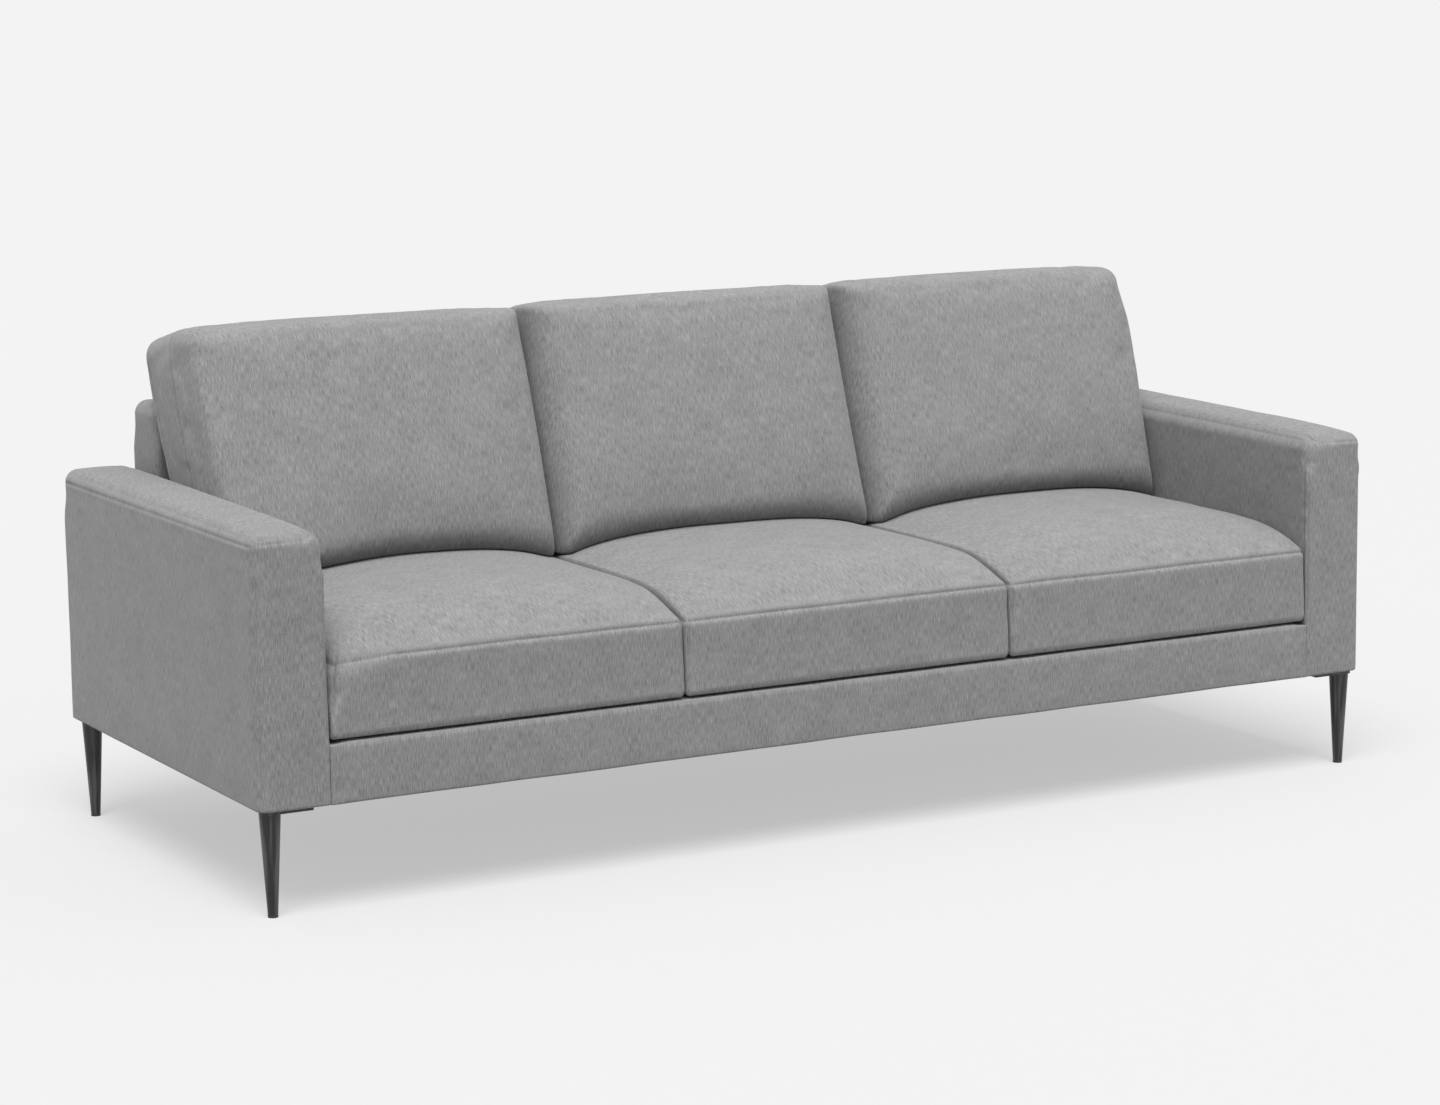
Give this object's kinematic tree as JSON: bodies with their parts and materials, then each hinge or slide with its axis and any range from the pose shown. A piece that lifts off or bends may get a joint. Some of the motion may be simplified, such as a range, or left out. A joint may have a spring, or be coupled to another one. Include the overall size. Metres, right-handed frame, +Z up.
{
  "type": "three-seater sofa with loose cushions",
  "caption": "Low upholstered sofa with padded track arms, loose boxed seat and back cushions and slim tapered dark legs, on a timber frame with zigzag springs.",
  "frame": {"origin": "on the floor, at the centre of the sofa's footprint", "axes": "+X along the width, to the right as seen from the front; +Y to the back; +Z up"},
  "size_m": [2.2, 0.89, 0.897],
  "materials": {
    "upholstery": "matte",
    "foam": "matte",
    "cushion_fill": "matte",
    "timber": "matte",
    "hardboard": "matte",
    "deck_cloth": "matte",
    "webbing": "matte",
    "spring_steel": "satin",
    "fasteners": "satin",
    "leg_paint": "satin",
    "glide_plastic": "matte"
  },
  "bodies": {
    "frame": {"arm_cover_left": "upholstery", "arm_padding_left": "foam", "arm_front_post_left": "timber", "arm_rear_post_left": "timber", "arm_top_rail_left": "timber", "arm_bottom_rail_left": "timber", "arm_outer_panel_left": "hardboard", "arm_inner_panel_left": "hardboard", "seat_end_rail_left": "timber", "seat_stretcher_left": "timber", "back_post_left": "timber", "arm_cover_right": "upholstery", "arm_padding_right": "foam", "arm_front_post_right": "timber", "arm_rear_post_right": "timber", "arm_top_rail_right": "timber", "arm_bottom_rail_right": "timber", "arm_outer_panel_right": "hardboard", "arm_inner_panel_right": "hardboard", "seat_end_rail_right": "timber", "seat_stretcher_right": "timber", "back_post_right": "timber", "front_rail_cover": "upholstery", "front_rail_padding": "foam", "seat_rail_front": "timber", "seat_rail_rear": "timber", "corner_blocks": "timber", "seat_springs": "spring_steel", "spring_clips": "fasteners", "deck_pad": "foam", "deck_cloth": "deck_cloth", "dust_cover": "deck_cloth", "back_cover": "upholstery", "back_padding": "foam", "back_top_rail": "timber", "back_bottom_rail": "timber", "back_panel": "hardboard", "back_webbing": "webbing", "leg_front_left": "leg_paint", "leg_front_right": "leg_paint", "leg_rear_left": "leg_paint", "leg_rear_right": "leg_paint", "leg_plates": "leg_paint", "leg_glides": "glide_plastic", "leg_screws": "fasteners", "arm_bolts": "fasteners", "back_bolts": "fasteners"},
    "seat_cushion_left": {"seat_cushion_cover_left": "upholstery", "seat_cushion_core_left": "cushion_fill"},
    "back_cushion_left": {"back_cushion_cover_left": "upholstery", "back_cushion_core_left": "cushion_fill"},
    "seat_cushion_middle": {"seat_cushion_cover_middle": "upholstery", "seat_cushion_core_middle": "cushion_fill"},
    "back_cushion_middle": {"back_cushion_cover_middle": "upholstery", "back_cushion_core_middle": "cushion_fill"},
    "seat_cushion_right": {"seat_cushion_cover_right": "upholstery", "seat_cushion_core_right": "cushion_fill"},
    "back_cushion_right": {"back_cushion_cover_right": "upholstery", "back_cushion_core_right": "cushion_fill"}
  },
  "joints": [
    {"name": "seat_lift_left", "type": "slide", "parent": "frame", "child": "seat_cushion_left", "axis": [0, 0, 1], "range_m": [0, 0.5]},
    {"name": "back_lift_left", "type": "slide", "parent": "seat_cushion_left", "child": "back_cushion_left", "axis": [0, 0, 1], "range_m": [0, 0.35]},
    {"name": "seat_lift_middle", "type": "slide", "parent": "frame", "child": "seat_cushion_middle", "axis": [0, 0, 1], "range_m": [0, 0.5]},
    {"name": "back_lift_middle", "type": "slide", "parent": "seat_cushion_middle", "child": "back_cushion_middle", "axis": [0, 0, 1], "range_m": [0, 0.35]},
    {"name": "seat_lift_right", "type": "slide", "parent": "frame", "child": "seat_cushion_right", "axis": [0, 0, 1], "range_m": [0, 0.5]},
    {"name": "back_lift_right", "type": "slide", "parent": "seat_cushion_right", "child": "back_cushion_right", "axis": [0, 0, 1], "range_m": [0, 0.35]}
  ]
}
